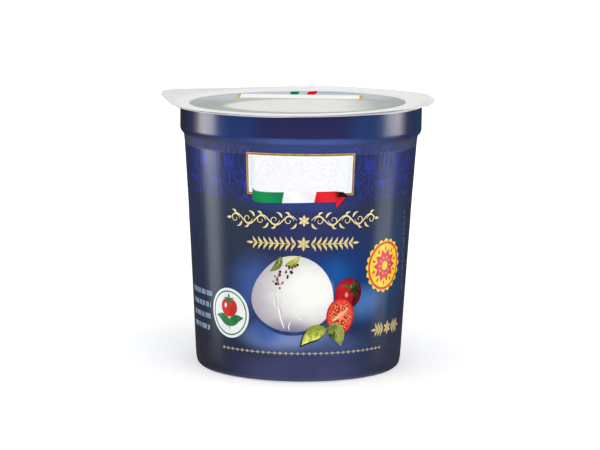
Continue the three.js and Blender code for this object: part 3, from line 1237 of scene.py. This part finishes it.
# The lid's label is printed a little askew: its corner, and the vectors along its two sides.
LID_LABEL_CORNER = np.array([-25.2, 18.6])
LID_LABEL_ACROSS = np.array([48.7, -6.9])
LID_LABEL_UP = np.array([0.5, 14.4])
LID_BAR = 0.024  # the gold bars' share of the label's width
LID_GREEN = [(-4.5, 36.0), (-3.6, 30.0), (-1.4, 30.0), (-0.7, 40.6), (-3.9, 40.6)]
LID_RED = [(2.1, 29.8), (5.0, 29.8), (6.2, 36.0), (6.2, 40.4), (2.9, 40.4)]


def lid_patch(*sides):
    """A patch of the lid's label, from its left, low, right and high shares of the label."""
    patch = box(*sides)
    return [tuple(LID_LABEL_CORNER + LID_LABEL_ACROSS * x + LID_LABEL_UP * y) for x, y in patch]


def film_ink(name, colour, other):
    look = Look(name, 0.4)
    look.set("Specular IOR Level", 0)
    look.set("Base Color", look.mix(look.cloud(0.4, 0.35, 0.65), colour, other))
    return look.material


def print_lid():
    beyond = ring_of_quads((RIM_SHIFT_X, 0), SEAL_RADIUS - 0.1, SEAL_RADIUS + 20)
    bars = [lid_patch(0, 0, LID_BAR, 1), lid_patch(1 - LID_BAR, 0, 1, 1)]
    layers = (
        ("panel", [lid_patch(0, 0, 1, 1)], (252, 251, 248), (246, 245, 241), 1),
        ("edge", [lid_patch(0, -0.04, 1, 0.06)], (226, 212, 186), (216, 204, 182), 2),
        ("bars", bars, (206, 158, 50), (226, 184, 84), 3),
        ("green", [LID_GREEN], (0, 136, 76), (0, 122, 68), 4),
        ("red", [LID_RED], (238, 10, 24), (220, 8, 22), 4),
    )
    for name, patches, colour, other, level in layers:
        look = film_ink(f"lid_{name}", colour, other)
        printed(f"lid_print_{name}", patches, look, level, holes=beyond, place=on_lid)


# -------- the studio

CAMERA_PLACE = (-0.25, -831.98, 173.49)
CAMERA_LENS = 131.80
CAMERA_PITCH = 0.14315
CAMERA_ROLL = 0.01217
CAMERA_YAW = 0.000444
FLOOR_REACH = 6.0  # metres


def make_camera():
    camera = new_object("camera", bpy.data.cameras.new("camera"))
    camera.data.sensor_width = 36
    camera.data.lens = CAMERA_LENS
    camera.data.clip_start = 0.01
    turns = ((-CAMERA_YAW, "Z"), (90 * DEGREE - CAMERA_PITCH, "X"), (CAMERA_ROLL, "Z"))
    place = Matrix.Translation(Vector(CAMERA_PLACE) * MM)
    for angle, axis in turns:
        place = place @ Matrix.Rotation(angle, 4, axis)
    camera.matrix_world = place
    bpy.context.scene.camera = camera


def make_floor():
    """A plain white sheet, bright enough to leave only a faint shadow."""
    mesh = bpy.data.meshes.new("floor")
    corners = box(-FLOOR_REACH, -FLOOR_REACH, FLOOR_REACH, FLOOR_REACH)
    mesh.from_pydata([(x, y, 0) for x, y in corners], [], [(0, 1, 2, 3)])
    look = Look("floor_white", 0.9)
    look.set("Base Color", linear((250, 250, 250)))
    look.set("Specular IOR Level", 0)
    look.set("Emission Color", (1, 1, 1))
    x, y, _ = look.parts(look.step("TexCoord", {}, "Object"))
    away = look.vector("LENGTH", look.joined(x, y), output=1)
    look.set("Emission Strength", look.between(away, 0.1, 0.6, 0.25, 0.6))
    mesh.materials.append(look.material)
    floor = new_object("floor", mesh)
    floor.location.z = -0.0001
    floor.visible_glossy = False
    floor.visible_shadow = False


def make_softbox(name, place, target, size, watts, tint=(1, 1, 1), only_shine=False):
    light = bpy.data.lights.new(name, "AREA")
    light.shape = "RECTANGLE"
    light.size, light.size_y = size
    light.energy = watts
    light.color = tint
    lamp = new_object(name, light)
    lamp.location = place
    lamp.rotation_euler = (Vector(target) - Vector(place)).to_track_quat("-Z", "Y").to_euler()
    lamp.visible_camera = False
    lamp.visible_diffuse = not only_shine


def make_world():
    """White to the camera. In reflections it is bright above the horizon, dark just below it and
    grey straight down."""
    world = bpy.data.worlds.new("studio")
    bpy.context.scene.world = world
    world.use_nodes = True
    nodes = Nodes(world.node_tree)
    z = nodes.parts(nodes.step("TexCoord", {}, "Generated"))[2]
    below = nodes.between(z, -0.75, -0.4, 0.4, 0.05)
    above = nodes.between(z, 0.0, 0.5, 0.66, 0.6)
    share = nodes.between(z, 0.03, 0.09)
    light = nodes.mix(share, nodes.joined(below, below, below), nodes.joined(above, above, above))
    seen = nodes.step("LightPath", {}, "Is Camera Ray")
    background = world.node_tree.nodes["Background"]
    nodes.feed(background.inputs["Color"], nodes.mix(seen, light, (255, 255, 255)))


# Upright strips of light that only shine on the sides, each with a wider, weaker one round it. The
# low ones stand in for the pale table beside the tub. Each has its place in x, its reach in y and
# in z, all in metres, its watts per square metre and its tint.
WARM, COOL = (1.0, 0.94, 0.84), (0.88, 0.95, 1.0)
SHINE_STRIPS = [
    ("left_high", -0.4, (-0.030, 0.112), (0.018, 0.12), 16.8, WARM),
    ("left_high_soft", -0.4, (-0.064, 0.15), (0.018, 0.12), 7.0, WARM),
    ("left_low", -0.4, (-0.016, 0.106), (-0.075, 0.027), 4.5, COOL),
    ("left_low_soft", -0.4, (-0.045, 0.14), (-0.075, 0.027), 2.7, COOL),
    ("right_high", 0.42, (-0.045, 0.110), (0.040, 0.13), 15.6, WARM),
    ("right_high_soft", 0.42, (-0.087, 0.15), (0.040, 0.13), 6.4, WARM),
    ("right_low", 0.42, (-0.052, 0.102), (-0.075, 0.004), 3.9, COOL),
    ("right_low_soft", 0.42, (-0.075, 0.122), (-0.075, 0.006), 2.3, COOL),
]


def make_studio():
    make_world()
    make_floor()
    middle = (0, 0, 0.05)
    make_softbox("top_softbox", (0.0, -0.35, 1.3), middle, (1.1, 0.9), 5.9)
    make_softbox("front_softbox", (0.25, -1.3, 0.9), middle, (1.2, 0.8), 3.9)
    for name, x, (near, far), (low, high), density, tint in SHINE_STRIPS:
        place = (x, (near + far) / 2, (low + high) / 2)
        size = (far - near, high - low)
        target = (0, place[1] / 2, place[2])
        make_softbox(name, place, target, size, density * size[0] * size[1], tint, only_shine=True)
    bpy.context.scene.view_settings.view_transform = "Standard"
    bpy.context.scene.view_settings.look = "None"


# -------- all together

def main():
    make_tub()
    make_base(plastic_look("white_plastic", (232, 234, 235), (240, 241, 240)))
    # The flange is painted greyer than the base's plastic: painted shade under the film's overhang.
    make_flange(plastic_look("flange_plastic_painted_shade", (196, 199, 208), (206, 209, 215)))
    make_film()
    print_damask()
    print_panel()
    print_ribbon()
    print_gold()
    print_ball()
    print_herbs()
    print_whole_tomato()
    print_half_tomato()
    print_basil()
    print_right_seal()
    print_left_seal()
    print_small_lines()
    print_back()
    print_lid()
    make_camera()
    make_studio()


main()
